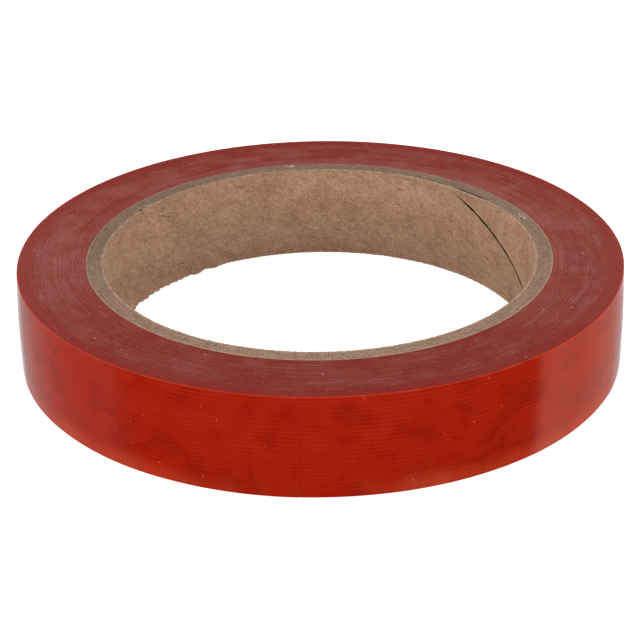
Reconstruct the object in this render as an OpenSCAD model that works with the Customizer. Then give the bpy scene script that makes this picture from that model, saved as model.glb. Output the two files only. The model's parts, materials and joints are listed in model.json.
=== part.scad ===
// Roll of narrow, glossy film tape on a spiral-wound kraft paper core.
//
// The roll lies flat: its axis is Z, and the origin is on the axis, in the plane
// of the side face that it rests on. Angles are counterclockwise from +X, seen
// from above. The tape winds outwards counterclockwise, and its cut end lies on
// the outside of the roll, where its last few millimetres can be picked up.

/* [Core] */
// Bore of the core, the standard 3 inch size
core_bore_d = 76.2; // [60:0.1:90]
// Thickness of the innermost ply, the liner
liner_t = 0.4; // [0.2:0.05:0.6]
// Thickness of each board ply between the liner and the cover
board_t = 0.44; // [0.3:0.01:0.8]
// Number of board plies
board_plies = 5; // [1:1:9]
// Thickness of the outermost ply, the cover
cover_t = 0.4; // [0.2:0.05:0.6]
// Width of the paper strips that the plies are wound from
strip_w = 100; // [60:5:150]
// Gap between the two edges of the liner's strip where they meet in its seam
liner_gap = 0.2; // [0.1:0.05:0.5]
// Gap in the seams of the plies behind the liner
board_gap = 0.1; // [0.05:0.05:0.5]
// Angle at which the liner's seam reaches the top face
liner_seam_a = 50.7; // [-180:0.1:180]
// Angle from one ply's seam to the next ply's
seam_stagger = 97; // [20:1:160]

/* [Tape] */
// Width of the tape, which is the height of the roll
tape_w = 17.7; // [12:0.1:50]
// Thickness of the tape: film and adhesive together
tape_t = 0.07; // [0.04:0.01:0.2]
// Number of turns of tape on the core
turns = 181; // [20:1:250]
// Angle of the tape's cut end
end_a = -94.1; // [-180:0.1:180]
// Length of the end that can be picked up
loose_l = 16; // [8:1:25]

/* [Hidden] */
$fn = 256;

// Core: the liner, the board plies and the cover, one inside the other
bore_r = core_bore_d / 2;
board_r = bore_r + liner_t;
cover_r = board_r + board_plies * board_t;
core_r = cover_r + cover_t;

// The strips are wound edge to edge, so a seam climbs one pitch in each turn
strip_angle = asin(strip_w / (PI * core_bore_d));
seam_pitch = PI * core_bore_d * tan(strip_angle);
seam_step_a = 2.5;
cut_over = 0.2;

// Tape: each spiral turn ends one tape thickness further out than it starts
roll_r = core_r + turns * tape_t;
outer_start_r = roll_r - tape_t;
pack_start_r = roll_r - 2 * tape_t;
loose_a = loose_l / roll_r * 180 / PI;

kraft_light = "#b29178";
kraft_mid = "#9c8068";
kraft_dark = "#8f745d";
film_edge = "#893a30";
film_face = "#a6220d";

// ---- Core ----

// Slit where the two edges of a ply's strip meet, gap apart: a helix that rises
// counterclockwise and reaches the top face at angle top_a
module seam_slit(r_in, r_out, top_a, gap) {
    height = tape_w + 2 * cut_over;
    level_gap = gap / sin(strip_angle);
    climb = 360 * height / seam_pitch;
    over_a = 360 * cut_over / seam_pitch;
    slices = ceil(climb / seam_step_a);
    rotate(top_a + over_a - climb)
        translate([0, 0, -cut_over])
            linear_extrude(height = height, twist = -climb, slices = slices, segments = 4)
                translate([r_in - cut_over, -level_gap / 2])
                    square([r_out - r_in + 2 * cut_over, level_gap]);
}

// One paper ply: a thin tube with its helical seam
module ply(r_in, r_out, seam_a, gap) {
    difference() {
        cylinder(r = r_out, h = tape_w);
        translate([0, 0, -1])
            cylinder(r = r_in, h = tape_w + 2);
        seam_slit(r_in, r_out, seam_a, gap);
    }
}

module liner_ply() {
    color(kraft_light)
        ply(bore_r, board_r, liner_seam_a, liner_gap);
}

// Board ply i, counted from the liner outwards
module board_ply(i) {
    r_in = board_r + (i - 1) * board_t;
    color(i % 2 == 0 ? kraft_mid : kraft_dark)
        ply(r_in, r_in + board_t, liner_seam_a + i * seam_stagger, board_gap);
}

module cover_ply() {
    color(kraft_mid)
        ply(cover_r, core_r, liner_seam_a + (board_plies + 1) * seam_stagger, board_gap);
}

// ---- Tape ----

// Half of a disc, on the side of the X axis that side_y names
module half_disc(r, centre_x, side_y) {
    reach = 2 * roll_r;
    intersection() {
        translate([centre_x, 0])
            circle(r = r);
        translate([-reach / 2, side_y > 0 ? 0 : -reach])
            square([reach, reach]);
    }
}

// Outline of the roll where a turn starts at radius r, with the end line on +X: it
// grows by one tape thickness over the turn, in two arcs, and then steps back down
module turn_outline(r) {
    half_disc(r + tape_t / 4, -tape_t / 4, 1);
    half_disc(r + tape_t * 3 / 4, tape_t / 4, -1);
}

// First half of the last turn, counterclockwise from the end line
module last_turn_start() {
    difference() {
        half_disc(outer_start_r + tape_t / 4, -tape_t / 4, 1);
        translate([-tape_t / 4, 0])
            circle(r = pack_start_r + tape_t / 4);
    }
}

// Second half of the last turn, which ends at the end line
module last_turn_finish() {
    difference() {
        half_disc(outer_start_r + tape_t * 3 / 4, tape_t / 4, -1);
        translate([tape_t / 4, 0])
            circle(r = pack_start_r + tape_t * 3 / 4);
    }
}

// Sector that holds the loose end: from its root to just past the end line
module loose_sector() {
    reach = 2 * roll_r;
    past_end_a = 1;
    polygon([
        [0, 0],
        [reach * cos(loose_a), -reach * sin(loose_a)],
        [reach * cos(past_end_a), reach * sin(past_end_a)]
    ]);
}

// All the turns under the last one, bonded turn on turn by their adhesive
module wound_pack() {
    color(film_edge)
        difference() {
            rotate(end_a)
                linear_extrude(height = tape_w)
                    turn_outline(pack_start_r);
            translate([0, 0, -1])
                cylinder(r = core_r, h = tape_w + 2);
        }
}

module outer_turn() {
    color(film_face)
        rotate(end_a)
            linear_extrude(height = tape_w) {
                last_turn_start();
                difference() {
                    last_turn_finish();
                    loose_sector();
                }
            }
}

module loose_end() {
    color(film_face)
        rotate(end_a)
            linear_extrude(height = tape_w)
                intersection() {
                    last_turn_finish();
                    loose_sector();
                }
}

liner_ply();
for (i = [1:board_plies])
    board_ply(i);
cover_ply();
wound_pack();
outer_turn();
loose_end();
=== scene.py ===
"""Looks for a roll of glossy film tape on a spiral-wound kraft paper core.

Everything is in metres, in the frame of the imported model: the axis of the roll is Z,
and it lies on the plane Z = 0. Angles are counterclockwise from +X, seen from above.
"""

import json
import math

import bpy
import numpy as np
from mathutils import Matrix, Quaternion, Vector


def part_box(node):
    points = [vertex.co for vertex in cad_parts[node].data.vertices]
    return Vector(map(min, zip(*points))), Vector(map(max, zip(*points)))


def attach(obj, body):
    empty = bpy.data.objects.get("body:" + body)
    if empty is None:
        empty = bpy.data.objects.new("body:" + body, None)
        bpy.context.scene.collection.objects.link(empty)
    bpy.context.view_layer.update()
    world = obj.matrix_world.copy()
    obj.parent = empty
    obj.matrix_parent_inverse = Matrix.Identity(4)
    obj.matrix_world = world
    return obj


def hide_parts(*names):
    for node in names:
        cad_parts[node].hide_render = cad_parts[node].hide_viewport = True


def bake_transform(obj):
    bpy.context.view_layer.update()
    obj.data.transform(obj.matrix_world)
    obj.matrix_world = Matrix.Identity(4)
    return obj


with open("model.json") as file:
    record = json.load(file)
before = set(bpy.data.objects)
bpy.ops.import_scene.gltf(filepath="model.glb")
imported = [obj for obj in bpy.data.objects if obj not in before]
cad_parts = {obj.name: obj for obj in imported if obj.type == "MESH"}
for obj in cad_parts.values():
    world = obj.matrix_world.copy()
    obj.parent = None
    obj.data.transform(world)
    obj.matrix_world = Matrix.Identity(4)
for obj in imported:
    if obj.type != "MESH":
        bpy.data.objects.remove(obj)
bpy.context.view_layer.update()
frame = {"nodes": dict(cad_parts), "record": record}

MM = 0.001
TURN = 2 * math.pi


# ---- Sizes, from the frame ----


def node_points(node):
    """A CAD node's vertices, as an array."""
    vertices = frame["nodes"][node].data.vertices
    return np.array([v.co for v in vertices], float)


def outer_radius(node):
    """The largest distance of a CAD node from the roll's axis."""
    points = node_points(node)
    return float(np.hypot(points[:, 0], points[:, 1]).max())


def angle_range(node):
    """The angles at which a narrow CAD node starts and ends."""
    points = node_points(node)
    angles = np.arctan2(points[:, 1], points[:, 0])
    return float(angles.min()), float(angles.max())


def mount(name):
    """The record's mount of that name."""
    return next(m for m in frame["record"]["mounts"] if m["name"] == name)


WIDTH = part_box("wound_pack")[1].z
BORE_R = mount("core_bore")["dims"]["r_mm"] * MM
PLY_NODES = ["liner_ply"] + [f"board_ply_{i}" for i in range(1, 6)] + ["cover_ply"]
PLY_RADII = [BORE_R] + [outer_radius(node) for node in PLY_NODES]
CORE_R = PLY_RADII[-1]
ROLL_R = outer_radius("loose_end")
TAPE_T = ROLL_R - outer_radius("wound_pack")
ROOT_A, END_A = angle_range("loose_end")

# The core's paper strips: the same values as in the CAD source
STRIP_W = 100 * MM
LINER_SEAM_A = math.radians(50.7)
SEAM_STAGGER = math.radians(97)
STRIP_ANGLE = math.asin(STRIP_W / (TURN * BORE_R))
SEAM_PITCH = TURN * BORE_R * math.tan(STRIP_ANGLE)

# The film's lengthwise lines
RIB_PITCH = 0.74 * MM

# The faint rings in the side face, in mm
EDGE_RING_PITCH = 0.62


# ---- Noise on the roll ----

# How many waves of different lengths and headings add up to a noise
NOISE_WAVES = 14


def ring_noise(angle, z, seed, size_mm):
    """Smooth noise of about -1 to 1 with features of that size. It closes on itself round the roll."""
    rng = np.random.default_rng(seed)
    total = np.zeros(np.broadcast(angle, z).shape)
    for _ in range(NOISE_WAVES):
        wave = TURN / (size_mm * MM) * rng.uniform(0.55, 1.5)
        heading = rng.uniform(0, TURN)
        round_count = round(wave * math.cos(heading) * CORE_R)
        climb = wave * math.sin(heading)
        total += np.sin(round_count * angle + climb * z + rng.uniform(0, TURN))
    return total / math.sqrt(NOISE_WAVES)


def edge_noise(angle, seed, size_mm):
    """Smooth noise of about -1 to 1 along an edge of the roll."""
    rng = np.random.default_rng(seed)
    total = np.zeros(np.shape(angle))
    for _ in range(NOISE_WAVES):
        count = max(1, round(TURN * CORE_R / (size_mm * MM) * rng.uniform(0.5, 1.5)))
        total += np.sin(count * angle + rng.uniform(0, TURN))
    return total / math.sqrt(NOISE_WAVES)


def bump_window(value, low, high, soft):
    """1 between low and high, falling smoothly to 0 over soft on each side."""
    up = np.clip((value - low + soft) / soft, 0, 1)
    down = np.clip((high + soft - value) / soft, 0, 1)
    both = np.minimum(up, down)
    return both * both * (3 - 2 * both)


def fade(distance, reach, power=2):
    """1 at no distance, falling smoothly towards 0 over about that reach, in mm."""
    return np.exp(-((distance / (reach * MM)) ** power))


def turn_gap(angle, start):
    """Angle from start to angle, taken as -180 to 180 degrees."""
    return (np.asarray(angle) - start + math.pi) % TURN - math.pi


# ---- Mesh building ----


def vectors(*parts):
    """Vectors from parts that broadcast together."""
    return np.stack(np.broadcast_arrays(*parts), axis=-1)


def polar(radius, angle, z):
    """Points from cylindrical values that broadcast together."""
    return vectors(radius * np.cos(angle), radius * np.sin(angle), z)


def new_object(name, data):
    """An object in the scene for a mesh, a camera or a light."""
    obj = bpy.data.objects.new(name, data)
    bpy.context.scene.collection.objects.link(obj)
    return obj


def band_quads(columns, rows, closed):
    """Faces of a band with a front and a back grid of points, joined round its edges.

    The front grid's points come first, then the back grid's. The front faces the side
    that along x across points to.
    """
    count = columns * rows
    last = columns if closed else columns - 1
    i = np.arange(last)
    after = (i + 1) % columns
    k = np.arange(rows - 1)
    a00 = (i[:, None] * rows + k).ravel()
    a10 = (after[:, None] * rows + k).ravel()
    low, low_after = i * rows, after * rows
    high, high_after = low + rows - 1, low_after + rows - 1
    corners = [
        (a00, a10, a10 + 1, a00 + 1),
        (a00 + count, a00 + 1 + count, a10 + 1 + count, a10 + count),
        (low, low + count, low_after + count, low_after),
        (high, high_after, high_after + count, high + count),
    ]
    if not closed:
        final = (columns - 1) * rows + k
        corners.append((k, k + 1, k + 1 + count, k + count))
        corners.append((final, final + count, final + 1 + count, final + 1))
    return np.concatenate([np.stack(four, axis=1) for four in corners])


def band(name, materials, front, back, closed=False):
    """A thin, smooth solid between two grids of points, each of shape columns x rows x 3."""
    points = np.concatenate([front.reshape(-1, 3), back.reshape(-1, 3)])
    quads = band_quads(*front.shape[:2], closed)
    mesh = bpy.data.meshes.new(name)
    mesh.vertices.add(len(points))
    mesh.vertices.foreach_set("co", np.ascontiguousarray(points, np.float32).ravel())
    mesh.loops.add(quads.size)
    mesh.loops.foreach_set("vertex_index", np.ascontiguousarray(quads, np.int32).ravel())
    mesh.polygons.add(len(quads))
    mesh.polygons.foreach_set("loop_start", np.arange(0, quads.size, 4, dtype=np.int32))
    mesh.update(calc_edges=True)
    mesh.validate()
    mesh.shade_smooth()
    mesh.set_sharp_from_angle(angle=math.radians(40))
    for material in materials:
        mesh.materials.append(material)
    return new_object(name, mesh)


def rounded_rows(middle, radius, degrees):
    """Heights of a strip's rows, and how far its rounded edges draw each row in.

    middle holds the heights of the rows from the rounding up to half the width, and degrees the
    places on the rounding that have a row.
    """
    turns = np.radians(degrees)
    lower = np.concatenate([radius * (1 - np.cos(turns)), middle])
    drawn = np.concatenate([radius * (1 - np.sin(turns)), np.zeros(len(middle))])
    heights = np.concatenate([lower, (WIDTH - lower)[::-1]])
    return heights, np.concatenate([drawn, drawn[::-1]])


def store(obj, name, values):
    """Keeps a value or a vector at each point of a mesh, for its material to read."""
    values = np.asarray(values, np.float32)
    kind, field = ("FLOAT", "value") if values.ndim == 1 else ("FLOAT_VECTOR", "vector")
    attribute = obj.data.attributes.new(name, kind, "POINT")
    attribute.data.foreach_set(field, values.ravel())


def store_both(obj, name, values):
    """Keeps the same values for a band's front and back."""
    flat = values.reshape(-1, values.shape[-1]) if values.ndim == 3 else values.ravel()
    store(obj, name, np.concatenate([flat, flat]))


# ---- Materials ----

# The colour sockets of a Mix node, by their place in its list
MIX_FACTOR, MIX_FIRST, MIX_SECOND, MIX_RESULT = 0, 6, 7, 2


def srgb(red, green, blue):
    """A colour of 0 to 255 as the linear RGBA that shaders use."""
    def linear(value):
        share = value / 255
        return share / 12.92 if share <= 0.04045 else ((share + 0.055) / 1.055) ** 2.4

    return (linear(red), linear(green), linear(blue), 1.0)


class Shader:
    """The node tree of a material or of the world, built up one node at a time."""

    def __init__(self, owner):
        owner.use_nodes = True
        self.owner = owner
        self.tree = owner.node_tree
        self.tree.nodes.clear()

    def node(self, kind, inputs=None, output=0, **settings):
        """Adds a ShaderNode of that kind and returns one of its outputs.

        An input is a number, a colour or another node's output.
        """
        node = self.tree.nodes.new("ShaderNode" + kind)
        for key, value in settings.items():
            setattr(node, key, value)
        for key, value in (inputs or {}).items():
            if isinstance(value, bpy.types.NodeSocket):
                self.tree.links.new(value, node.inputs[key])
            else:
                node.inputs[key].default_value = value
        return node.outputs[output]

    def attribute(self, name, output="Fac"):
        """A stored value, or a stored vector as the output "Vector"."""
        return self.node("Attribute", output=output, attribute_name=name)

    def math(self, operation, first, second=0.0, clamp=False):
        """A sum, product or other operation on two values."""
        return self.node("Math", {0: first, 1: second}, operation=operation, use_clamp=clamp)

    def times(self, first, second):
        """The product of two values."""
        return self.math("MULTIPLY", first, second)

    def weighted(self, *pairs):
        """The sum of values, each times its weight."""
        total = 0.0
        for value, weight in pairs:
            total = self.math("ADD", total, self.math("MULTIPLY", value, weight))
        return total

    def scaled(self, vector, by):
        """A vector with each axis multiplied."""
        return self.node("VectorMath", {0: vector, 1: by}, operation="MULTIPLY")

    def noise(self, vector, size, detail=3.0, roughness=0.55, distortion=0.0, output=0):
        """Noise of 0 to 1 with features of that size, in the units of the vector."""
        inputs = {"Vector": vector, "Scale": 1 / size, "Detail": detail}
        inputs.update({"Roughness": roughness, "Distortion": distortion})
        return self.node("TexNoise", inputs, output)

    def spots(self, vector, cell, radius, share):
        """1 inside round spots on a plane, 0 outside. That share of the cells has one."""
        place = {"Vector": vector, "Scale": 1 / cell}
        distance = self.node("TexVoronoi", place, "Distance", voronoi_dimensions="2D")
        chance = self.node("TexVoronoi", place, "Color", voronoi_dimensions="2D")
        picked = self.math("LESS_THAN", self.node("SeparateColor", {0: chance}), share)
        inside = self.ramp(distance, radius / cell * 0.5, radius / cell, 1.0, 0.0)
        return self.math("MULTIPLY", inside, picked)

    def turned(self, vector, degrees):
        """A vector turned about its third axis."""
        inputs = {"Vector": vector, "Angle": math.radians(degrees)}
        return self.node("VectorRotate", inputs, rotation_type="Z_AXIS")

    def warped(self, vector, size, reach):
        """A vector pushed about by noise of that size, by up to about that reach."""
        push = self.noise(vector, size, 1.0, 0.5, output="Color")
        middle = (0.5, 0.5, 0.5)
        centred = self.node("VectorMath", {0: push, 1: middle}, operation="SUBTRACT")
        spread = self.scaled(centred, (2 * reach, 2 * reach, 0.0))
        return self.node("VectorMath", {0: vector, 1: spread}, operation="ADD")

    def ramp(self, value, low, high, at_low=0.0, at_high=1.0):
        """Maps low to high smoothly onto at_low to at_high."""
        inputs = {"Value": value, "From Min": low, "From Max": high}
        inputs.update({"To Min": at_low, "To Max": at_high})
        return self.node("MapRange", inputs, interpolation_type="SMOOTHSTEP")

    def mix(self, share, first, second, blend="MIX"):
        """Mixes two colours."""
        sockets = {MIX_FACTOR: share, MIX_FIRST: first, MIX_SECOND: second}
        return self.node("Mix", sockets, output=MIX_RESULT, data_type="RGBA", blend_type=blend)

    def lay(self, colour, over, where, strength=1.0):
        """Lays a second colour over the first, by a share of 0 to 1 times a strength."""
        return self.mix(self.math("MULTIPLY", where, strength), colour, over)

    def bump(self, height, strength, distance, normal=None):
        """A surface direction that follows a height of 0 to 1 over that distance, in metres."""
        inputs = {"Height": height, "Strength": strength, "Distance": distance}
        if normal is not None:
            inputs["Normal"] = normal
        return self.node("Bump", inputs)

    def principled(self, **inputs):
        """The main surface shader. An underscore in a name stands for a space."""
        return self.node("BsdfPrincipled", {k.replace("_", " "): v for k, v in inputs.items()})

    def paper(self, colour, rough, normal):
        """Finishes a dull paper surface."""
        return self.finish(self.principled(Base_Color=colour, Roughness=rough, Normal=normal,
                                           Specular_IOR_Level=0.2))

    def finish(self, surface, kind="OutputMaterial"):
        """Connects the surface and returns the material or the world."""
        output = self.tree.nodes.new("ShaderNode" + kind)
        self.tree.links.new(surface, output.inputs["Surface"])
        return self.owner


def mm_position(shader):
    """Where a point is in the roll's frame, in mm."""
    place = shader.node("TexCoord", output="Object")
    return shader.scaled(place, (1000, 1000, 1000))


# Flecks in the kraft paper: the turn of a stretched fleck in degrees (0 for a round one), the
# size of the cells that can hold one and its radius, in mm, the share of cells that do, how
# strongly it shows, and its colour
FLECK_STRETCH = (0.22, 1.5, 1.0)
KRAFT_TORN = srgb(206, 178, 152)
KRAFT_FLECKS = [
    (0, 1.9, 0.13, 0.14, 0.85, srgb(78, 46, 30)),
    (0, 1.1, 0.10, 0.14, 0.45, srgb(104, 66, 44)),
    (0, 3.4, 0.22, 0.14, 0.50, srgb(112, 70, 46)),
    (14, 2.4, 0.20, 0.14, 0.75, srgb(106, 58, 38)),
    (-24, 2.9, 0.22, 0.10, 0.50, srgb(120, 76, 52)),
    (-38, 1.7, 0.14, 0.16, 0.35, srgb(214, 190, 166)),
    (6, 1.3, 0.12, 0.16, 0.30, srgb(208, 182, 158)),
    (0, 2.7, 0.13, 0.10, 0.60, srgb(222, 206, 190)),
]


def kraft(name, light, dark, fleck=1.0):
    """Kraft paper between a light and a dark tone, with fibres, flecks, pale torn edges and painted
    shade.

    fleck is how many of its flecks show.
    """
    s = Shader(bpy.data.materials.new(name))
    lie = s.attribute("lie", "Vector")
    # Tone: clouds, mottling, fibres along the strip and a fine grain
    cloud = s.noise(lie, 6.0, 3.0, 0.6)
    mottle = s.noise(s.scaled(lie, (0.6, 1.2, 1.0)), 1.1, 4.0, 0.65, 0.4)
    grain = s.noise(lie, 0.26, 3.0, 0.7)
    fibres = s.noise(s.scaled(lie, (0.28, 1.5, 1.0)), 0.42, 3.0, 0.7, 0.9)
    tone = s.weighted((cloud, 0.8), (mottle, 0.9), (fibres, 0.8), (grain, 2.1))
    paper = s.mix(s.ramp(tone, 1.85, 2.75), dark, light)
    for degrees, cell, radius, share, strength, colour in KRAFT_FLECKS:
        stretched = s.scaled(s.turned(lie, degrees), FLECK_STRETCH if degrees else (1.0, 1.0, 1.0))
        spot = s.spots(s.warped(stretched, 0.9, 0.25), cell, radius, share * fleck)
        paper = s.lay(paper, colour, spot, strength)
    paper = s.lay(paper, KRAFT_TORN, s.attribute("fray_and_rim_glow"), s.ramp(grain, 0.3, 0.65, 0.45, 1.0))
    # Painted shade: darker deep between plies, in the seam and on the cut edges at the back
    painted_shade = s.ramp(s.attribute("painted_shade"), 0.0, 1.0, 1.0, 0.06)
    grey = s.node("CombineColor", {0: painted_shade, 1: painted_shade, 2: painted_shade})
    paper = s.mix(1.0, paper, grey, "MULTIPLY")
    normal = s.bump(s.weighted((mottle, 0.5), (fibres, 0.6), (grain, 0.5)), 1.0, 0.10 * MM)
    rough = s.ramp(mottle, 0.2, 0.8, 0.78, 0.95)
    return s.paper(paper, rough, normal)


FILM_LIGHT = srgb(183, 32, 6)
FILM_DARK = srgb(166, 24, 4)
FILM_LINE = srgb(206, 62, 24)
# Painted glow of light through the film's edges
FILM_RIM_GLOW = srgb(214, 64, 28)
# Painted reflection of the table, low on the wall
FILM_REFLECTED_GLOW = srgb(232, 80, 46)
# Pale patches low on the wall: part scuff, part painted reflection of the table
FILM_SCUFF_AND_SHEEN = srgb(206, 98, 66)
FILM_DUST = srgb(226, 150, 122)
FILM_PIT = srgb(110, 14, 6)


def film(name):
    """The tape's glossy, slightly see-through film, with its lengthwise lines."""
    s = Shader(bpy.data.materials.new(name))
    lie = s.attribute("lie", "Vector")
    across = s.node("SeparateXYZ", {0: lie}, output="Y")
    # Lengthwise lines, which waver and break off
    waver = s.noise(s.scaled(lie, (0.04, 0.5, 0.0)), 1.0, 2.0)
    phase = s.weighted((across, MM / RIB_PITCH), (waver, 0.35))
    rib = s.math("COSINE", s.times(phase, TURN))
    broken = s.noise(s.scaled(lie, (0.2, 0.5, 0.0)), 1.7, 3.0)
    facing = s.node("LayerWeight", {"Blend": 0.5}, "Facing")
    line = s.times(s.ramp(rib, -0.2, 1.0), s.ramp(broken, 0.36, 0.6))
    line = s.times(line, s.ramp(facing, 0.35, 0.75, 1.0, 0.3))
    # Blotches of the turns that show through, and fine streaks
    streak = s.noise(s.scaled(lie, (0.02, 1.0, 0.0)), 0.2, 3.0)
    blotch = s.noise(s.scaled(lie, (0.8, 1.0, 0.0)), 4.6, 4.0, 0.6, 0.7)
    speckle = s.noise(lie, 1.5, 4.0, 0.65)
    colour = s.mix(s.ramp(blotch, 0.46, 0.66), FILM_LIGHT, FILM_DARK)
    colour = s.mix(s.ramp(speckle, 0.56, 0.74, 0.0, 0.35), colour, FILM_DARK)
    colour = s.lay(colour, FILM_LINE, line, 0.30)
    colour = s.mix(s.ramp(streak, 0.5, 0.78, 0.0, 0.20), colour, FILM_LINE)
    # Pale patches along the lower edge, part scuff and part painted reflection of the table, and a
    # painted glow of the table's reflection there, away from the cut end
    low_edge = s.ramp(across, 0.6, 4.2, 1.0, 0.0)
    in_places = s.ramp(s.noise(s.scaled(lie, (1.0, 0.0, 0.0)), 13.0, 2.0), 0.45, 0.7)
    colour = s.lay(colour, FILM_SCUFF_AND_SHEEN, s.times(low_edge, in_places), 0.35)
    half_turn = math.pi * ROLL_R / MM
    along = s.node("SeparateXYZ", {0: lie}, output="X")
    past_half = s.math("ABSOLUTE", s.math("SUBTRACT", along, half_turn))
    from_end = s.math("SUBTRACT", half_turn, past_half)
    # Painted reflection of the table: a glow low on the wall, growing away from the cut end
    glow = s.ramp(across, 0.2, 3.4, 1.0, 0.0)
    colour = s.lay(colour, FILM_REFLECTED_GLOW, glow, s.ramp(from_end, 7.0, 24.0, 0.0, 0.5))
    dust = s.spots(s.warped(s.scaled(lie, (1.0, 0.7, 0.0)), 0.4, 0.08), 2.6, 0.12, 0.05)
    colour = s.lay(colour, FILM_DUST, dust, 0.4)
    pit = s.spots(s.warped(lie, 0.4, 0.08), 1.9, 0.13, 0.10)
    colour = s.lay(colour, FILM_PIT, pit, 0.3)
    # Painted glow: a brighter orange line where light shows through the film's edges and its cut end
    colour = s.lay(colour, FILM_RIM_GLOW, s.attribute("fray_and_rim_glow"), s.ramp(broken, 0.3, 0.6, 0.35, 0.8))
    wave = s.noise(s.scaled(lie, (1.0, 0.16, 0.0)), 3.4, 2.0)
    normal = s.bump(wave, 0.25, 0.03 * MM)
    normal = s.bump(s.weighted((rib, 1.0), (streak, 2.0)), 0.3, 0.0016 * MM, normal)
    rough = s.weighted((s.ramp(speckle, 0.3, 0.8, 0.10, 0.17), 1.0), (dust, 0.3))
    glossy = s.principled(Base_Color=colour, Roughness=rough, Normal=normal, IOR=1.5)
    through = s.node("BsdfTranslucent", {"Color": s.mix(0.4, colour, srgb(255, 60, 10))})
    return s.finish(s.node("MixShader", {0: 0.10, 1: glossy, 2: through}))


def adhesive_side(name):
    """The film seen from its adhesive side: the same colour, duller, with fine pull lines."""
    s = Shader(bpy.data.materials.new(name))
    lie = s.attribute("lie", "Vector")
    pull = s.noise(s.scaled(lie, (2.4, 0.25, 0.0)), 0.5, 3.0)
    haze = s.noise(lie, 3.0, 3.0)
    colour = s.mix(s.ramp(haze, 0.3, 0.7), srgb(176, 40, 18), srgb(188, 64, 42))
    colour = s.mix(s.ramp(pull, 0.5, 0.8, 0.0, 0.4), colour, srgb(206, 104, 84))
    normal = s.bump(pull, 0.6, 0.02 * MM)
    rough = s.ramp(haze, 0.2, 0.8, 0.34, 0.5)
    glossy = s.principled(Base_Color=colour, Roughness=rough, Normal=normal)
    through = s.node("BsdfTranslucent", {"Color": srgb(250, 62, 18)})
    return s.finish(s.node("MixShader", {0: 0.3, 1: glossy, 2: through}))


EDGES_CLEAN = srgb(124, 18, 9)
# Grey-pink haze: part dust, part painted sheen
EDGES_DUST_AND_SHEEN = srgb(140, 59, 50)
EDGES_ARC = srgb(151, 90, 84)
EDGES_OUTSIDE = srgb(135, 22, 8)


def tape_edges(name):
    """The side face of the roll: the edges of all the turns, with a grey haze of dust and painted
    sheen in them.
    """
    s = Shader(bpy.data.materials.new(name))
    place = mm_position(s)
    flat = s.scaled(place, (1.0, 1.0, 0.0))
    radius = s.node("VectorMath", {0: flat}, "Value", operation="LENGTH")
    turns = s.node("VectorMath", {
        0: s.scaled(flat, (0.03, 0.03, 0.0)),
        1: s.node("CombineXYZ", {2: radius}),
    }, operation="ADD")
    # Rings of three widths, which hardly change along a turn, and two patterns that do
    ring = s.noise(turns, 0.5, 4.0, 0.7)
    fine = s.noise(turns, 0.20, 2.0, 0.5)
    wide = s.noise(turns, 2.1, 2.0, 0.5)
    patch = s.noise(place, 5.0, 4.0, 0.6)
    grit = s.noise(place, 0.34, 4.0, 0.75)
    # Haze of dust and painted sheen, heavier towards the back and light on the outer turns
    core_mm, roll_mm = CORE_R / MM, ROLL_R / MM
    outside = s.ramp(s.weighted((radius, 1.0), (wide, 0.8)), roll_mm - 3.4, roll_mm - 1.6)
    haze = s.ramp(s.weighted((ring, 0.7), (wide, 0.5), (patch, 0.5), (grit, 0.9)), 1.10, 1.66)
    depth = s.node("SeparateXYZ", {0: place}, output="Y")
    haze = s.times(haze, s.ramp(depth, -roll_mm, roll_mm, 0.5, 1.8))
    haze = s.times(haze, s.ramp(outside, 0.0, 1.0, 1.0, 0.25))
    colour = s.mix(haze, EDGES_CLEAN, EDGES_DUST_AND_SHEEN)
    colour = s.lay(colour, EDGES_OUTSIDE, outside, 0.75)
    # Pale arcs and grooves, grit and dust
    arc = s.times(s.ramp(fine, 0.52, 0.66), s.ramp(patch, 0.38, 0.6, 0.15, 0.55))
    colour = s.lay(colour, EDGES_ARC, arc, s.ramp(outside, 0.0, 1.0, 1.0, 0.3))
    phase = s.weighted((radius, 1 / EDGE_RING_PITCH), (s.noise(turns, 1.6, 2.0), 2.2))
    groove = s.ramp(s.math("COSINE", s.times(phase, TURN)), 0.0, 1.0)
    groove = s.times(groove, s.ramp(patch, 0.40, 0.60, 0.05, 0.38))
    colour = s.lay(colour, EDGES_ARC, groove, s.ramp(outside, 0.0, 1.0, 1.0, 0.1))
    colour = s.mix(s.ramp(grit, 0.50, 0.66, 0.0, 0.5), colour, EDGES_ARC)
    colour = s.mix(s.ramp(grit, 0.34, 0.48, 0.4, 0.0), colour, EDGES_CLEAN)
    dust = s.spots(s.warped(place, 0.3, 0.08), 1.5, 0.10, 0.10)
    colour = s.lay(colour, srgb(190, 150, 140), dust, 0.5)
    large_dust = s.spots(s.warped(place, 0.4, 0.12), 4.6, 0.18, 0.12)
    colour = s.lay(colour, srgb(206, 172, 160), large_dust, 0.7)
    # Paler next to the core at the back, and a darker first turn all round
    from_behind = s.ramp(depth, 0.0, core_mm, 0.0, 0.35)
    colour = s.lay(colour, EDGES_ARC, from_behind, s.ramp(radius, core_mm, core_mm + 3.0, 1.0, 0.0))
    near_core = s.ramp(radius, core_mm + 0.1, core_mm + 0.5, 0.45, 0.0)
    colour = s.mix(near_core, colour, srgb(150, 30, 20))
    normal = s.bump(s.weighted((ring, 0.5), (fine, 0.5)), 0.5, 0.03 * MM)
    normal = s.bump(grit, 0.5, 0.03 * MM, normal)
    rough = s.ramp(ring, 0.2, 0.8, 0.46, 0.6)
    tangent = s.node("Tangent", direction_type="RADIAL", axis="Z")
    return s.finish(s.principled(Base_Color=colour, Roughness=rough, Normal=normal, IOR=1.4,
                                 Anisotropic=0.85, Anisotropic_Rotation=0.25, Tangent=tangent))


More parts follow.
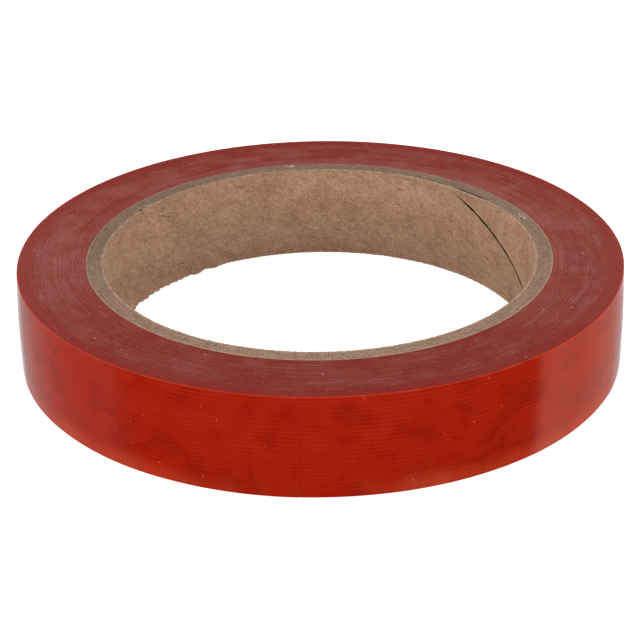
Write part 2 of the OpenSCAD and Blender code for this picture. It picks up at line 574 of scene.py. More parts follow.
def plain_floor(name):
    """A plain, near-white table, lit from below for the eye only, like a light table."""
    s = Shader(bpy.data.materials.new(name))
    grain = s.noise(mm_position(s), 30.0, 2.0)
    colour = s.mix(grain, srgb(192, 192, 192), srgb(197, 197, 197))
    table = s.principled(Base_Color=colour, Roughness=0.9, Specular_IOR_Level=0.0)
    seen = s.node("LightPath", output="Is Camera Ray")
    strength = s.times(seen, FLOOR_GLOW)
    glow = s.node("Emission", {"Color": (1, 1, 1, 1), "Strength": strength})
    return s.finish(s.node("AddShader", {0: table, 1: glow}))


# ---- Core ----

PLY_COLUMNS = 900
LINER_COLUMNS = 1440
# Gap between neighbouring plies on each side, and the rounding of their cut edges
PLY_CLEAR = 0.006 * MM
EDGE_ROUND = 0.04 * MM
# Gap in the seam of a board ply and, at most, of the liner
BOARD_GAP = 0.1 * MM
LINER_GAP = 0.43 * MM
# How much painted shade darkens the cut edges at the back and on the left
BACK_PAINTED_SHADE = 0.38
LEFT_PAINTED_SHADE = 0.09
# How close to the seam its first column stands, as a share of a column's width
SEAM_RIM = 0.5


def seam_angles(columns, rows, seam_a, gap):
    """Angles of a ply's points. Its columns lean with the helix, from one side of the seam round.

    gap is the level width of the seam at the height of each row, as an angle.
    """
    share = np.linspace(0, 1, columns)
    share[1] *= SEAM_RIM
    share[-2] = 1 - share[1]
    seam = seam_a + (rows - WIDTH) / SEAM_PITCH * TURN
    return seam + gap / 2 + share[:, None] * (TURN - gap)


# Where plies have come apart in the top face: after which ply, at what angle, over what
# half angle, and by how much each side gives way
SPLITS = [
    (0, 149.6, math.radians(0.9), 0.22 * MM),
    (0, 147.2, math.radians(2.0), 0.07 * MM),
    (2, 22.4, math.radians(0.6), 0.18 * MM),
    (2, 19.5, math.radians(0.9), 0.20 * MM),
    (3, 20.6, math.radians(1.6), 0.06 * MM),
]


def split_window(angle, centre, half):
    """1 at the middle of a split, falling to 0 at its ends."""
    return bump_window(turn_gap(angle, math.radians(centre)), -half / 3, half / 3, half)


def top_splits(angle, index):
    """How far the plies part from each other in the top face: outwards above 0, inwards below."""
    shift = np.zeros_like(angle)
    for after_ply, centre, half, depth in SPLITS:
        near = split_window(angle, centre, half)
        side = 1 if index > after_ply else -1
        falloff = 0.45 ** (abs(index - after_ply - 0.5) - 0.5)
        shift += side * depth * near * falloff
    return shift


def painted_edge_shade(angle):
    """Painted shade on the cut edges of the plies: most at the back, and a little on the left."""
    back = BACK_PAINTED_SHADE * (0.5 + 0.5 * np.sin(angle)) ** 0.6
    return back + LEFT_PAINTED_SHADE * np.clip(-np.cos(angle), 0, 1) ** 2


def ply_lie(angle, rows, seam_a, radius):
    """The place of each point in mm: along its strip, across it, and through the core."""
    arc = (angle - seam_a) * radius
    along = arc * math.cos(STRIP_ANGLE) + rows * math.sin(STRIP_ANGLE)
    across = rows * math.cos(STRIP_ANGLE) - arc * math.sin(STRIP_ANGLE)
    return vectors(along, across, radius) / MM


def board_ply(index):
    """One of the plies behind the liner. Only its edges and its seam show."""
    name = PLY_NODES[index]
    middle = np.concatenate([[0.1, 0.25, 0.6], np.linspace(1.2, 8.2, 7)]) * MM
    rows, drawn = rounded_rows(EDGE_ROUND + middle, EDGE_ROUND, (10, 40, 70))
    seam_a = LINER_SEAM_A + index * SEAM_STAGGER
    gap = BOARD_GAP / math.sin(STRIP_ANGLE) / PLY_RADII[index]
    angle = seam_angles(PLY_COLUMNS, rows, seam_a, gap)
    near_edge = fade(WIDTH - rows, 0.5, 1) + fade(rows, 0.5, 1)
    shift = top_splits(angle, index) * fade(WIDTH - rows, 1.2, 1)
    inner = PLY_RADII[index] + drawn + PLY_CLEAR + shift
    outer = PLY_RADII[index + 1] - drawn - PLY_CLEAR + shift
    rough = ring_noise(angle, rows, 100 + index, 1.1)
    rough = rough + 0.7 * edge_noise(angle, 120 + index, 0.5)
    sunk = (0.02 + 0.018 * edge_noise(angle, 140 + index, 9)) * MM
    side = np.where(rows > WIDTH / 2, -1, 1)
    z = rows + side * near_edge * np.clip(sunk + 0.014 * MM * rough, 0, 0.12 * MM)
    material = BOARD_DARK if index % 2 else BOARD_LIGHT
    obj = band(f"{name}_paper", [material], polar(outer, angle, z), polar(inner, angle, z))
    store_both(obj, "lie", ply_lie(angle, rows, seam_a, (inner + outer) / 2))
    fray_and_rim_glow = np.clip(drawn / EDGE_ROUND, 0, 1) * np.ones_like(angle)
    lean = 0.05 if index < len(PLY_NODES) - 1 else 0.3
    split_edge = sum(split_window(angle, centre, half) for ply, centre, half, _ in SPLITS
                     if ply in (index, index - 1))
    store_both(obj, "fray_and_rim_glow", np.clip(lean * fray_and_rim_glow + 0.7 * fray_and_rim_glow * split_edge, 0, 1))
    # Painted shade on the paper deep between plies, less where ply 1 shows in the worn wedge, and on
    # the cut edges at the back and left
    buried_shade = np.clip((np.minimum(rows, WIDTH - rows) / MM - 0.10) / 0.25, 0, 1) * np.ones_like(angle)
    if index == 1:
        buried_shade = buried_shade * (1 - seam_wedge(angle, rows))
    store_both(obj, "painted_shade", np.clip(buried_shade + painted_edge_shade(angle), 0, 1))
    finish_piece(obj, name)


def corner_curl(angle, rows):
    """How far the strip's sharp corner, right of the seam's top, has come away: 0 to 1."""
    arc = -turn_gap(angle, LINER_SEAM_A) * BORE_R
    along = bump_window(arc, 3.8 * MM, 8.6 * MM, 3.2 * MM)
    return along * fade(WIDTH - rows, 1.5)


def seam_wedge(angle, rows):
    """Where the strip's blunt corner, left of the seam's top, has worn down: 0 to 1 towards it."""
    arc = turn_gap(angle, LINER_SEAM_A) * BORE_R
    along = np.clip(1 - arc / (6.5 * MM), 0, 1) * (arc > -0.6 * MM)
    return along * fade(WIDTH - rows, 1.2)


def liner():
    """The innermost ply, whose inner side is the wall of the bore."""
    name = PLY_NODES[0]
    near = [0.08, 0.18, 0.3, 0.45, 0.65, 0.9]
    middle = np.concatenate([near, np.arange(1.25, 8.6, 0.42)]) * MM
    rows, drawn = rounded_rows(EDGE_ROUND + middle, EDGE_ROUND, (10, 40, 70))
    depth_top, depth_low = WIDTH - rows, rows
    taper = 0.25 + 0.75 * bump_window(rows, 2 * MM, WIDTH - 3.2 * MM, 2.6 * MM)
    uneven = 1 + 0.22 * edge_noise(rows / BORE_R, 13, 2.4)
    level_gap = LINER_GAP * taper * uneven / math.sin(STRIP_ANGLE) / BORE_R
    angle = seam_angles(LINER_COLUMNS, rows, LINER_SEAM_A, level_gap)
    curl = corner_curl(angle, rows)
    wedge = seam_wedge(angle, rows)

    # Slight waves of the wall, in mm and then in metres
    wave = 0.030 * ring_noise(angle, rows, 1, 7) + 0.010 * ring_noise(angle, rows, 2, 1.6)
    wave = (wave + 0.006 * ring_noise(angle, rows, 3, 0.6)) * MM

    # The lower edge's torn burr, which is rough at the left, and the upper edge's thin lip
    torn = edge_noise(angle, 5, 6) * 0.45 + edge_noise(angle, 6, 2.2) * 0.4
    torn = torn + edge_noise(angle, 7, 0.8) * 0.18
    rough_left = bump_window(turn_gap(angle, math.radians(147)), -0.36, 0.26, 0.16)
    burr = 0.06 + 0.05 * torn + rough_left * np.clip(0.50 + 0.34 * torn, 0.05, 0.9)
    burr_low = np.clip(burr, 0.02, 0.95) * MM * fade(depth_low, 0.6, 1.5)
    lip = (0.05 + 0.035 * edge_noise(angle, 8, 2.5) + 0.02 * edge_noise(angle, 9, 0.6)) * MM
    lip_top = 0.3 * np.clip(lip, 0.01 * MM, 0.14 * MM) * fade(depth_top, 0.16, 1.5)

    # The seam's lifted edges, the splits and the lifted corner
    seam_near = np.minimum(np.abs(angle - angle[:1]), np.abs(angle - angle[-1:])) * BORE_R
    seam_lip = 0.05 * MM * fade(seam_near, 0.35)
    split = top_splits(angle, 0) * fade(depth_top, 1.1)
    away = 0.20 * MM * curl - split

    inner = BORE_R + drawn + wave - burr_low - lip_top - seam_lip - away
    outer = PLY_RADII[1] - drawn - PLY_CLEAR - 0.8 * burr_low - away
    ragged = np.clip(0.03 + 0.03 * edge_noise(angle, 10, 1.2), 0, 0.1) * MM
    z = rows - ragged * fade(depth_top, 0.3, 1) - 0.16 * MM * curl
    z = z - (0.16 + 0.06 * edge_noise(angle, 12, 0.7)) * MM * wedge
    z = z + ragged * fade(depth_low, 0.3, 1)
    front, back = polar(outer, angle, z), polar(inner, angle, z)
    obj = band("liner_ply_paper", [LINER_PAPER, BOARD_LIGHT], front, back)
    store_both(obj, "lie", ply_lie(angle, rows, LINER_SEAM_A, BORE_R))

    # Where torn, pale fibre shows, and painted shade where the paper lies in the dark between plies
    # and in the seam
    fray_and_rim_glow = fade(depth_top, 0.06) * (0.55 + 0.25 * edge_noise(angle, 11, 3))
    fray_and_rim_glow = fray_and_rim_glow + 0.3 * fade(depth_low, 0.2) + 0.3 * fade(seam_near, 0.3)
    fray_and_rim_glow = fray_and_rim_glow + 0.5 * fade(depth_top, 0.15) * np.clip(3 * wedge + 3 * curl, 0, 1)
    fray_and_rim_glow = np.clip(fray_and_rim_glow, 0, 1)
    store(obj, "fray_and_rim_glow", np.concatenate([0.25 * fray_and_rim_glow.ravel(), fray_and_rim_glow.ravel()]))
    # Painted shade on the outer side against the next ply, on the seam's cut ends, and on the cut
    # edges at the back and left
    under = np.clip((depth_top / MM - 0.12) / 0.2, 0, 1) * np.ones_like(angle)
    seam_shade = np.zeros_like(angle)
    seam_shade[[0, -1]] = 0.8 * taper
    cut_edge_shade = painted_edge_shade(angle[:, [0, -1]])
    seam_shade[:, [0, -1]] += cut_edge_shade
    under[:, [0, -1]] += cut_edge_shade
    store(obj, "painted_shade", np.clip(np.concatenate([0.9 * under.ravel(), seam_shade.ravel()]), 0, 1))

    # The cut edges are board
    cut = (np.arange(len(rows)) % (len(rows) - 1) == 0) * np.ones_like(angle)
    paint_faces(obj, np.tile(cut.ravel(), 2) > 0.5, 1)
    finish_piece(obj, name)


# ---- Loose fibres of the core ----


def fibre(points, radius, sides=5):
    """A thin closed tube along a curved line, tapered at both ends: its points and faces."""
    points = np.asarray(points, float)
    along = np.gradient(points, axis=0)
    along /= np.linalg.norm(along, axis=1)[:, None]
    aside = np.cross(along, [0.3, 0.2, 1.0])
    aside /= np.linalg.norm(aside, axis=1)[:, None]
    up = np.cross(aside, along)
    count = len(points)
    share = np.linspace(0, 1, count)
    girth = radius * np.clip(np.minimum(share, 1 - share) * 6, 0.25, 1)
    turns = np.arange(sides) / sides * TURN
    ring = aside[:, None] * np.cos(turns)[:, None] + up[:, None] * np.sin(turns)[:, None]
    tube = (points[:, None] + ring * girth[:, None, None]).reshape(-1, 3)
    k = np.arange(sides)
    after = (k + 1) % sides
    one_ring = np.stack([k, after, sides + after, sides + k], axis=1)
    faces = [i * sides + one_ring for i in range(count - 1)]
    ends = np.array([points[0] - along[0] * radius * 0.3, points[-1] + along[-1] * radius * 0.3])
    first, last = count * sides, count * sides + 1
    final = (count - 1) * sides
    caps = [[first, after[j], k[j]] for j in range(sides)]
    caps += [[last, final + k[j], final + after[j]] for j in range(sides)]
    return np.concatenate([tube, ends]), [list(f) for f in np.concatenate(faces)] + caps


def curly_line(rng, start, heading, length, curl, steps=9):
    """A wandering line of that length from start."""
    heading = np.asarray(heading, float)
    points = [np.asarray(start, float)]
    for _ in range(steps):
        heading = heading + rng.normal(0, curl, 3)
        heading /= np.linalg.norm(heading)
        points.append(points[-1] + heading * length / steps)
    return points


def on_ring(angle, radius, z):
    """A point, and the directions outwards, along the ring and up, at a place on the roll."""
    out = np.array([math.cos(angle), math.sin(angle), 0])
    along = np.array([-math.sin(angle), math.cos(angle), 0])
    return out * radius + np.array([0, 0, z]), out, along, np.array([0, 0, 1.0])


def edge_fibres(rng):
    """Short fibres that stand out along the bore's two edges, and along the seam."""
    lines = []
    for _ in range(420):
        angle = rng.uniform(0, TURN)
        point, out, along, up = on_ring(angle, BORE_R - 0.02 * MM, WIDTH - rng.uniform(0, 0.1) * MM)
        heading = along * rng.normal(0, 1) - out * rng.uniform(0.1, 0.7) - up * rng.uniform(-0.1, 0.5)
        lines.append((curly_line(rng, point, heading, rng.uniform(0.2, 0.6) * MM, 0.35), 0.010 * MM))
    for _ in range(420):
        at_left = rng.random() < 0.5
        angle = math.radians(rng.normal(143, 14)) if at_left else rng.uniform(0, TURN)
        point, out, along, up = on_ring(angle, BORE_R - 0.05 * MM, rng.uniform(0.05, 0.35) * MM)
        heading = along * rng.normal(0, 1) - out * rng.uniform(0.2, 1.0) + up * rng.uniform(0, 0.3)
        lines.append((curly_line(rng, point, heading, rng.uniform(0.2, 0.7) * MM, 0.35), 0.011 * MM))
    for _ in range(160):
        z = rng.uniform(0.5 * MM, WIDTH - 0.2 * MM)
        angle = LINER_SEAM_A + (z - WIDTH) / SEAM_PITCH * TURN + rng.choice([-1, 1]) * 0.006
        point, out, along, up = on_ring(angle, BORE_R - 0.03 * MM, z)
        heading = along * rng.normal(0, 1) + up * rng.normal(0, 0.6) - out * rng.uniform(0, 0.4)
        lines.append((curly_line(rng, point, heading, rng.uniform(0.15, 0.45) * MM, 0.3), 0.010 * MM))
    return lines


def tuft(rng, angle, radius, count, length, spread, heading_out):
    """A tuft of fibres that lies on the top face."""
    lines = []
    for _ in range(count):
        point, out, along, up = on_ring(angle + rng.normal(0, spread) / radius,
                                        radius + rng.normal(0, spread * 0.3), WIDTH)
        heading = along * rng.normal(0, 1) + out * rng.normal(heading_out, 0.7)
        heading = heading + up * rng.uniform(0.0, 0.25)
        line = curly_line(rng, point, heading, length * rng.uniform(0.5, 1.0), 0.35)
        lines.append((line, 0.016 * MM))
    return lines


def strand(rng, angle, radius, heading, length, thickness, twist=0.9):
    """A thicker strand of several fibres twisted round each other."""
    point, out, along, up = on_ring(angle, radius, WIDTH - thickness)
    direction = out * heading[0] + along * heading[1]
    spine = curly_line(rng, point, direction, length, 0.16, 12)
    lines = []
    for turn in np.arange(4) / 4 * TURN:
        line = []
        for i, p in enumerate(spine):
            swing = turn + i * twist
            offset = (out * math.cos(swing) + up * math.sin(swing)) * thickness * 0.45
            line.append(np.array([p[0], p[1], WIDTH - thickness]) + offset)
        lines.append((line, thickness * 0.42))
    return lines


def fibre_object(name, lines, material):
    """All the fibres along these lines, in one piece of the core."""
    points, faces, start = [], [], 0
    for line, radius in lines:
        line = [(p[0], p[1], min(max(p[2], radius), WIDTH - radius)) for p in line]
        tube, tube_faces = fibre(line, radius)
        points.append(tube)
        faces += [[start + v for v in face] for face in tube_faces]
        start += len(tube)
    mesh = bpy.data.meshes.new(name)
    mesh.from_pydata(np.concatenate(points).tolist(), [], faces)
    mesh.shade_smooth()
    obj = new_object(name, mesh)
    obj.data.materials.append(material)
    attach(obj, "roll")


def wall_line(rng, start, end, sunk, steps=9):
    """A wandering line on the wall of the bore, between places of (degrees, mm below the top)."""
    share = np.linspace(0, 1, steps)
    angle = np.radians(start[0] + (end[0] - start[0]) * share)
    depth = (start[1] + (end[1] - start[1]) * share + rng.normal(0, 0.05, steps)) * MM
    return list(polar(BORE_R + sunk, angle, WIDTH - depth))


def core_fibres():
    """The loose, pale fibres of the core, with a small star of fluff on its top face."""
    rng = np.random.default_rng(20)
    lines = edge_fibres(rng)
    fluff_a = math.radians(98.2)
    fluff_r = BORE_R + 2.2 * MM
    lines += strand(rng, fluff_a, fluff_r, (0.35, 0.99), 1.5 * MM, 0.24 * MM)
    lines += strand(rng, fluff_a, fluff_r, (1.0, -0.1), 1.6 * MM, 0.21 * MM)
    lines += strand(rng, fluff_a + 0.006, fluff_r + 0.2 * MM, (-0.72, -0.70), 2.3 * MM, 0.24 * MM)
    lines += tuft(rng, fluff_a, fluff_r, 40, 1.5 * MM, 0.4 * MM, 0.0)
    lines += tuft(rng, math.radians(20.5), BORE_R + 1.5 * MM, 22, 0.8 * MM, 0.7 * MM, 0.2)
    lines += tuft(rng, math.radians(147.5), BORE_R + 0.3 * MM, 8, 0.7 * MM, 0.5 * MM, 0.0)
    for _ in range(70):
        angle = rng.uniform(0, TURN)
        radius = BORE_R + rng.uniform(0.2, 2.8) * MM
        lines += tuft(rng, angle, radius, 1, 0.6 * MM, 0.1 * MM, 0.0)
    lines.append((wall_line(rng, (85.7, 3.7), (84.5, 4.2), -0.02 * MM), 0.13 * MM))
    fibre_object("core_fibres", lines, FIBRE)


def core_shives():
    """Dark bundles of fibre in the wall of the bore: one long one at the left and many short ones."""
    rng = np.random.default_rng(21)
    lines = [(wall_line(rng, (142.2, 2.9), (136.6, 4.4), 0.0), 0.055 * MM)]
    specks = [(135.6, 4.2), (146.0, 7.2), (128.7, 8.7), (154.5, 2.4)]
    specks += [(rng.uniform(0, 360), rng.uniform(1.5, 16.0)) for _ in range(60)]
    for degrees, depth in specks:
        length = rng.uniform(0.15, 0.55)
        lean = rng.normal(-0.3, 0.4)
        end = (degrees + math.degrees(length * MM / BORE_R), depth + lean * length)
        line = wall_line(rng, (degrees, depth), end, 0.02 * MM, 5)
        lines.append((line, rng.uniform(0.035, 0.07) * MM))
    fibre_object("core_shives", lines, SHIVE)


def lint():
    """Grains of dust and lint on the side face of the tape."""
    rng = np.random.default_rng(22)
    places = [(math.radians(-147.0), 51.9 * MM, 0.11 * MM)]
    for _ in range(36):
        angle = rng.uniform(0, TURN)
        radius = rng.uniform(CORE_R + MM, ROLL_R - 2 * MM)
        places.append((angle, radius, rng.uniform(0.03, 0.06) * MM))
    lines = []
    for angle, radius, girth in places:
        point, out, along, _ = on_ring(angle, radius, WIDTH - girth)
        heading = along * rng.normal(0, 1) + out * rng.normal(0, 0.5)
        lines.append((curly_line(rng, point, heading, girth * rng.uniform(2.5, 5), 0.3, 5), girth))
    fibre_object("lint", lines, FIBRE)


def fibre_paper(name, dark, light, patch_mm, grain_mm):
    """Paper fibre between two tones, with patches and a grain of those sizes."""
    s = Shader(bpy.data.materials.new(name))
    place = mm_position(s)
    colour = s.mix(s.noise(place, patch_mm, 2.0), dark, light)
    normal = s.bump(s.noise(place, grain_mm, 2.0), 0.4, 0.01 * MM)
    rough = s.ramp(s.noise(place, 0.3, 2.0), 0.2, 0.8, 0.7, 0.9)
    return s.paper(colour, rough, normal)


# ---- Tape ----

RING_COLUMNS = 720
# Roundings of the pack's corners and of the film's edges
CORNER = 0.14 * MM
FILM_ROUND = 0.45 * TAPE_T
# Angle that the pack keeps from the cut end, and how far the film's face is set in
END_CLEAR = 0.0006
FILM_CLEAR = 0.012 * MM
# How much of the stuck turn is part of the loose end's mesh
OVERLAP = 3 * MM


def turn_radius(angle, turns_under):
    """Outer radius of the tape where that many turns lie over it, from the spiral of the winding."""
    share = ((np.asarray(angle) - END_A) % TURN) / TURN
    return ROLL_R - (turns_under + 1 - share) * TAPE_T


def wall_draw(angle, z):
    """How far the wall is drawn in from the CAD model's true cylinder.

    It swells half way up and leans in to the top edge, and stands further out on the right.
    """
    share = z / WIDTH
    to_top = np.clip((share - 0.42) / 0.58, 0, 1) ** 1.6
    to_bottom = np.clip((0.42 - share) / 0.42, 0, 1) ** 2
    return (0.36 * to_top + 0.07 * to_bottom + 0.15 * (1 - np.cos(angle))) * MM


def ripple(angle, z):
    """Slight unevenness of the wall, which bends its reflections."""
    long_wave = edge_noise(angle, 31, 22) * 0.020 + edge_noise(angle, 32, 7) * 0.007
    return (long_wave + 0.003 * ring_noise(angle, z, 33, 9)) * MM


def wound_pack():
    """The pack of turns: both side faces, and the wall under the last turn."""
    name = "wound_pack"
    angle = np.linspace(END_A + END_CLEAR, END_A + TURN - END_CLEAR, RING_COLUMNS)[:, None]
    # Rows of a side face from the core outwards: radius, depth, and how the turns settle
    inner = CORE_R + 0.01 * MM
    flat = np.arange(CORE_R / MM + 0.14, ROLL_R / MM - 1.1, 0.1) * MM
    corner = np.radians([0, 20, 40, 60, 80, 90])
    bend_depth = CORNER * (1 - np.cos(corner))
    depth = np.concatenate([[0.05 * MM, 0.012 * MM], np.zeros(len(flat)), bend_depth])
    reach = np.concatenate([[0.0, 0.05 * MM], flat - inner])
    rng = np.random.default_rng(41)
    step = rng.normal(0, 1, len(depth))
    drift = np.convolve(rng.normal(0, 1, len(depth) + 12), np.ones(13) / 13, "valid") * 2.2
    height = 0.008 * step + 0.016 * drift
    settled = np.concatenate([[0, 0.6], np.ones(len(flat)), 0.5 * np.cos(corner)])
    columns = np.ones_like(angle)

    def face(drawn_in, flip):
        """Radii and depths of one side face."""
        wall = turn_radius(angle, 1) - drawn_in - CORNER
        bend = wall + CORNER * np.sin(corner) * columns
        radius = np.concatenate([inner + reach * columns, bend], axis=1)
        wander = 0.006 * edge_noise(angle, 42, 40)
        wander = wander + 0.004 * ring_noise(angle, radius, 43, 12)
        sunk = np.clip(0.03 + (height[::-1] if flip else height) + wander, 0.004, 0.09) * MM
        return radius, depth + sunk * settled

    top_radius, top_depth = face(wall_draw(angle, WIDTH), False)
    low_radius, low_depth = face(wall_draw(angle, 0), True)
    top, low = WIDTH - top_depth, low_depth
    under, over = polar(low_radius, angle, low), polar(top_radius, angle, top)
    obj = band(name + "_turns", [EDGES, FILM], under, over, closed=True)
    # The wall and the rounded corners are film
    arc = (angle - END_A) * ROLL_R / MM
    lie = [vectors(arc, z / MM, 0.0).reshape(-1, 3) for z in (low, top)]
    store(obj, "lie", np.concatenate(lie))
    film_part = np.concatenate([np.zeros(2 + len(flat)), np.ones(len(corner))])
    # Painted glow along the film's rounded corners
    rim_glow = film_part.copy()
    rim_glow[-1] = 0
    store_both(obj, "fray_and_rim_glow", rim_glow * columns)
    paint_faces(obj, np.concatenate([np.tile(film_part, RING_COLUMNS)] * 2) > 0.5, 1)
    finish_piece(obj, name)


def paint_faces(obj, chosen, index):
    """Gives the faces whose points are all chosen another of the piece's materials."""
    corners = np.zeros(len(obj.data.loops), np.int32)
    obj.data.loops.foreach_get("vertex_index", corners)
    picked = chosen[corners].reshape(-1, 4).all(axis=1)
    obj.data.polygons.foreach_set("material_index", np.where(picked, index, 0).astype(np.int32))


def film_strip(name, start, stop, columns, piece_node):
    """A length of the tape's last turn, from angle start to angle stop."""
    middle = np.arange(FILM_ROUND + 0.06 * MM, WIDTH / 2, RIB_PITCH / 4)
    rows, inset = rounded_rows(middle, FILM_ROUND, (15, 45, 75))
    angle = np.linspace(start, stop, columns)[:, None]
    share = (angle - END_A) / TURN
    outer = ROLL_R - (1 - share) * TAPE_T - wall_draw(angle, rows)
    relief = 0.0010 * MM * np.cos(rows / RIB_PITCH * TURN) * (inset == 0)
    ease = np.clip(np.minimum(angle - END_A, END_A + TURN - angle) / 0.2, 0, 1)
    uneven = np.minimum(ripple(angle, rows) - 0.03 * MM, 0) * ease
    front = polar(outer - inset + relief + uneven - FILM_CLEAR, angle, rows)
    back = polar(outer - TAPE_T + inset * 0.9 + 0.002 * MM + uneven, angle, rows)
    obj = band(name, [FILM, ADHESIVE], front, back)
    store_both(obj, "lie", vectors((angle - END_A) * ROLL_R / MM, rows / MM, 0.0))
    depth = np.minimum(rows, WIDTH - rows)
    # Painted glow along the film's top and bottom edges and on its cut end
    rim_glow = fade(depth, 0.15) * (0.75 + 0.25 * edge_noise(angle, 35, 6))
    rim_glow = rim_glow * np.where(rows > WIDTH / 2, 1.0, 0.5)
    rim_glow = np.maximum(rim_glow, 0.5 * (angle >= END_A + TURN - 1e-6))
    store_both(obj, "fray_and_rim_glow", np.clip(rim_glow, 0, 1))
    half = columns * len(rows)
    paint_faces(obj, np.arange(2 * half) >= half, 1)
    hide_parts(piece_node)
    return obj


def outer_turn():
    """The last turn, stuck down, up to a little before the root of the loose end."""
    stop = ROOT_A + TURN - OVERLAP / ROLL_R
    columns = round(RING_COLUMNS * (stop - END_A) / TURN)
    obj = film_strip("outer_turn_film", END_A, stop, columns, "outer_turn")
    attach(obj, "roll")


def loose_end():
    """The end that peels off, and the last of the stuck turn before it."""
    start = ROOT_A + TURN - OVERLAP / ROLL_R
    obj = film_strip("loose_end_film", start, END_A + TURN, 90, "loose_end")
    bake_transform(obj)


def finish_piece(obj, node):
    """Attaches a piece to the roll and hides the CAD node it stands for."""
    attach(obj, "roll")
    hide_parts(node)


# ---- Studio ----

CAMERA_REACH = 0.3396
CAMERA_RISE = math.radians(24.68)
CAMERA_AT = Vector((0, -math.cos(CAMERA_RISE), math.sin(CAMERA_RISE))) * CAMERA_REACH
CAMERA_AT.z += WIDTH
CAMERA_AIM = Vector((-0.00005, 0.0, WIDTH - 0.0136))
CAMERA_ROLL = math.radians(-0.778)
SENSOR = 36.0
LENS = 108.04
FLOOR_GLOW = 0.8
SKY_DIFFUSE = 0.43
# The horizon's soft edge, as heights on the sphere of the sky
HORIZON = (-0.15, 0.05)
# Each light's name, place, size and power
LIGHTS = [
    ("top_light", (-0.05, 0.4, 0.85), 0.9, 5.0),
    ("left_light", (-0.85, -0.62, 0.36), 0.6, 5.4),
    ("right_light", (0.85, -0.62, 0.36), 0.6, 4.6),
]


def aimed_object(name, data, place, aim):
    """A camera or a light at one place that points at another."""
    obj = new_object(name, data)
    obj.location = place
    obj.rotation_mode = "QUATERNION"
    obj.rotation_quaternion = (aim - place).to_track_quat("-Z", "Y")
    return obj


def camera():
    """The photograph's view of the roll."""
    data = bpy.data.cameras.new("camera")
    data.sensor_width = SENSOR
    data.lens = LENS
    data.clip_start = 0.01
    data.clip_end = 20.0
    obj = aimed_object("camera", data, CAMERA_AT, CAMERA_AIM)
    obj.rotation_quaternion = obj.rotation_quaternion @ Quaternion((0, 0, 1), CAMERA_ROLL)
    bpy.context.scene.camera = obj


def floor():
    """A wide plain table. Glossy surfaces mirror the studio, not the table."""
    size = 3.0
    corners = [(-size, -size, 0), (size, -size, 0), (size, size, 0), (-size, size, 0)]
    mesh = bpy.data.meshes.new("floor")
    mesh.from_pydata(corners, [], [(0, 1, 2, 3)])
    obj = new_object("floor", mesh)
    obj.data.materials.append(plain_floor("floor"))
    obj.visible_glossy = False


def soft_light(name, place, size, power):
    """A large square light that points at the roll."""
    data = bpy.data.lights.new(name, "AREA")
    data.size = size
    data.energy = power
    obj = aimed_object(name, data, Vector(place), Vector((0, 0, 0)))
    obj.visible_glossy = False


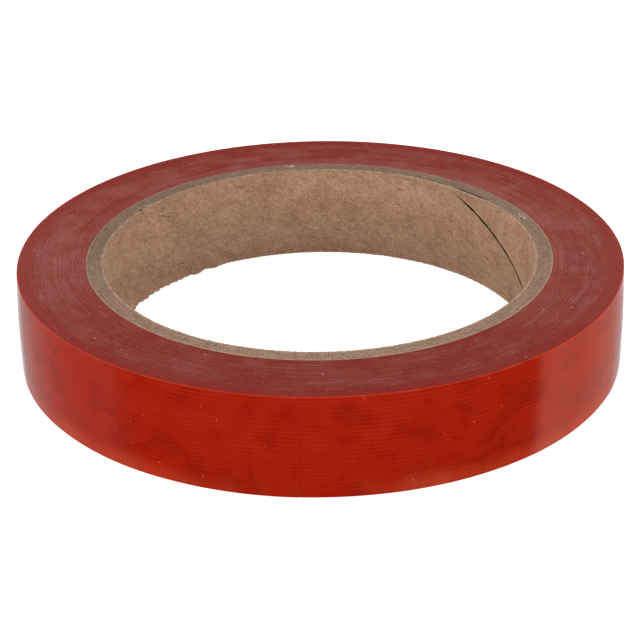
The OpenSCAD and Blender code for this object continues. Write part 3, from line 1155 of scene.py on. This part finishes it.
def studio_sky():
    """White all round for the camera and for soft light.

    In reflections it is dark in front, on the camera's side, and pale behind and at both sides,
    as in a small white tent with an open front. The wall of the roll mirrors what is below the
    horizon, which is warm on the right and brightest straight behind.
    """
    world = bpy.data.worlds.new("studio")
    bpy.context.scene.world = world
    s = Shader(world)
    place = s.node("TexCoord", output="Generated")
    x, y, height = (s.node("SeparateXYZ", {0: place}, output=axis) for axis in "XYZ")
    heading = s.math("ARCTAN2", y, x)

    def by_heading(low, high, at_low, at_high):
        """A value that changes smoothly between two headings in degrees."""
        return s.ramp(heading, math.radians(low), math.radians(high), at_low, at_high)

    below = s.ramp(height, *HORIZON, 1.0, 0.0)
    right_and_back = s.times(by_heading(-7, 1, 0.0, 1.0), by_heading(115, 182, 1.3, 0.55))
    left_front = s.times(by_heading(-182, -158, 0.58, 0.0), by_heading(-158, -157, 1.0, 0.0))
    pale = s.math("MAXIMUM", right_and_back, left_front)
    tent = s.math("ADD", by_heading(8, 20, 0.14, 0.0), by_heading(60, 110, 0.33, 0.39))
    behind = s.times(by_heading(50, 82, 0.0, 0.7), by_heading(103, 120, 1.0, 0.0))
    behind = s.times(below, behind)
    pale = s.times(s.times(pale, tent), s.math("ADD", behind, 1.0))
    overhead = s.ramp(height, 0.35, 0.8, 1.0, 0.2)
    mirrored = s.math("ADD", s.times(pale, overhead), 0.02)

    glossy = s.node("LightPath", output="Is Glossy Ray")
    seen = s.node("LightPath", output="Is Camera Ray")
    others = s.weighted((1.0, 1.0), (glossy, -1.0), (seen, -1.0))
    in_mirrors = s.times(glossy, mirrored)
    strength = s.weighted((in_mirrors, 1.0), (seen, 1.0), (others, SKY_DIFFUSE))

    on_right = s.times(by_heading(-60, -20, 0.0, 1.0), by_heading(20, 80, 1.0, 0.0))
    on_right = s.times(below, on_right)
    less_blue = s.ramp(height, *HORIZON, -0.07, -0.10)
    changes = [
        s.weighted((on_right, 1.1)),
        s.weighted((on_right, 0.08)),
        s.weighted((less_blue, 1.0), (behind, 0.22), (on_right, -0.10)),
    ]
    channels = [s.math("ADD", 1.0, s.times(glossy, change)) for change in changes]
    colour = s.node("CombineColor", dict(enumerate(channels)))
    background = s.node("Background", {"Color": colour, "Strength": strength})
    s.finish(background, "OutputWorld")


# ---- Build ----

camera()
studio_sky()
floor()
for light in LIGHTS:
    soft_light(*light)
bpy.context.scene.view_settings.view_transform = "Standard"

LINER_PAPER = kraft("liner_paper", srgb(201, 162, 134), srgb(157, 118, 93))
BOARD_LIGHT = kraft("board_paper_light", srgb(167, 137, 117), srgb(135, 105, 88), 0.5)
BOARD_DARK = kraft("board_paper_dark", srgb(163, 134, 114), srgb(130, 102, 85), 0.5)
FIBRE = fibre_paper("paper_fibre", srgb(200, 172, 146), srgb(226, 206, 184), 0.8, 0.05)
SHIVE = fibre_paper("paper_shive", srgb(74, 42, 28), srgb(112, 70, 50), 0.5, 0.06)
FILM = film("tape_film")
ADHESIVE = adhesive_side("tape_adhesive")
EDGES = tape_edges("tape_edges")

liner()
for ply_index in range(1, len(PLY_NODES)):
    board_ply(ply_index)
core_fibres()
core_shives()
lint()
wound_pack()
outer_turn()
loose_end()
